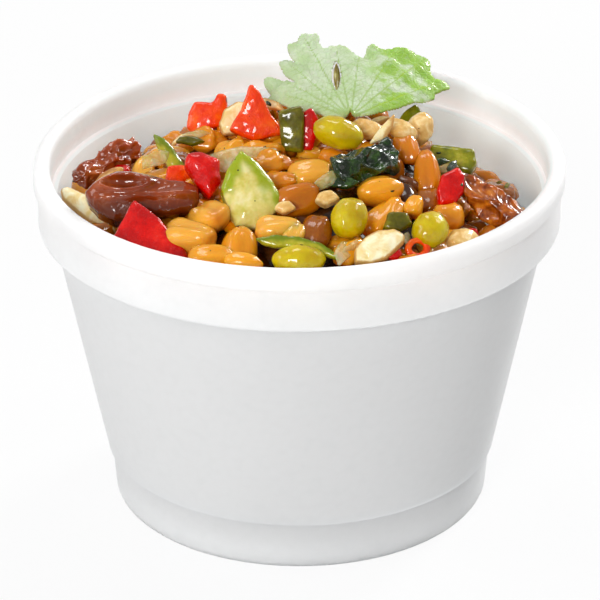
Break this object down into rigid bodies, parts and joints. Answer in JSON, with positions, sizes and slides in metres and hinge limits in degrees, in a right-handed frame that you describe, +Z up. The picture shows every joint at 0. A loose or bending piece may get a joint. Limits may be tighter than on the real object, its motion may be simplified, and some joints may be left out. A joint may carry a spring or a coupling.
{
  "type": "foam food cup with grain salad",
  "caption": "Round tapered foam food cup with a stepped lip, heaped with cooked grain salad, peppers, peas, raisins and nuts, and topped with a herb leaf.",
  "frame": {"origin": "middle of the base, on the surface the cup stands on", "axes": "+Z up, +Y to the back where the salad lies lowest and the leaf points, +X to the right"},
  "size_m": [0.105, 0.105, 0.0866],
  "materials": {
    "foam": "moulded white foam with a fine bead texture, satin",
    "grain": "cooked amber grain, wet and glossy",
    "leaf": "pale underside of a herb leaf, veined",
    "pea": "cooked olive-yellow pea, wet",
    "nut": "blanched nut, satin",
    "raisin": "wrinkled dried fruit, glossy",
    "orange_pepper": "orange-red pepper skin, wet",
    "red_pepper": "red pepper skin, wet",
    "green_pepper": "green pepper, wet, pale where cut",
    "onion": "translucent cooked onion",
    "spinach": "dark cooked leaf, wet and crumpled"
  },
  "bodies": {
    "root": {"almond_back": "nut", "almond_front": "nut", "almond_left": "nut", "almond_top": "nut", "almond_wall": "nut", "foam_cup": "foam", "garnish_leaf": "leaf", "grain_salad": "grain", "green_arc": "green_pepper", "green_back": "green_pepper", "green_chunk": "green_pepper", "green_dart": "green_pepper", "green_right": "green_pepper", "green_strip": "green_pepper", "nut_back": "nut", "nut_left": "nut", "nut_middle": "nut", "nut_rim": "nut", "onion_plate": "onion", "onion_slice": "onion", "pea_front": "pea", "pea_middle": "pea", "pea_right": "pea", "pea_top": "pea", "pepper_back": "orange_pepper", "pepper_front": "red_pepper", "pepper_middle": "red_pepper", "pepper_peak": "orange_pepper", "pepper_right": "red_pepper", "pepper_strip": "red_pepper", "raisin_back": "raisin", "raisin_left": "raisin", "raisin_right": "raisin", "spinach_leaf": "spinach"}
  },
  "joints": []
}
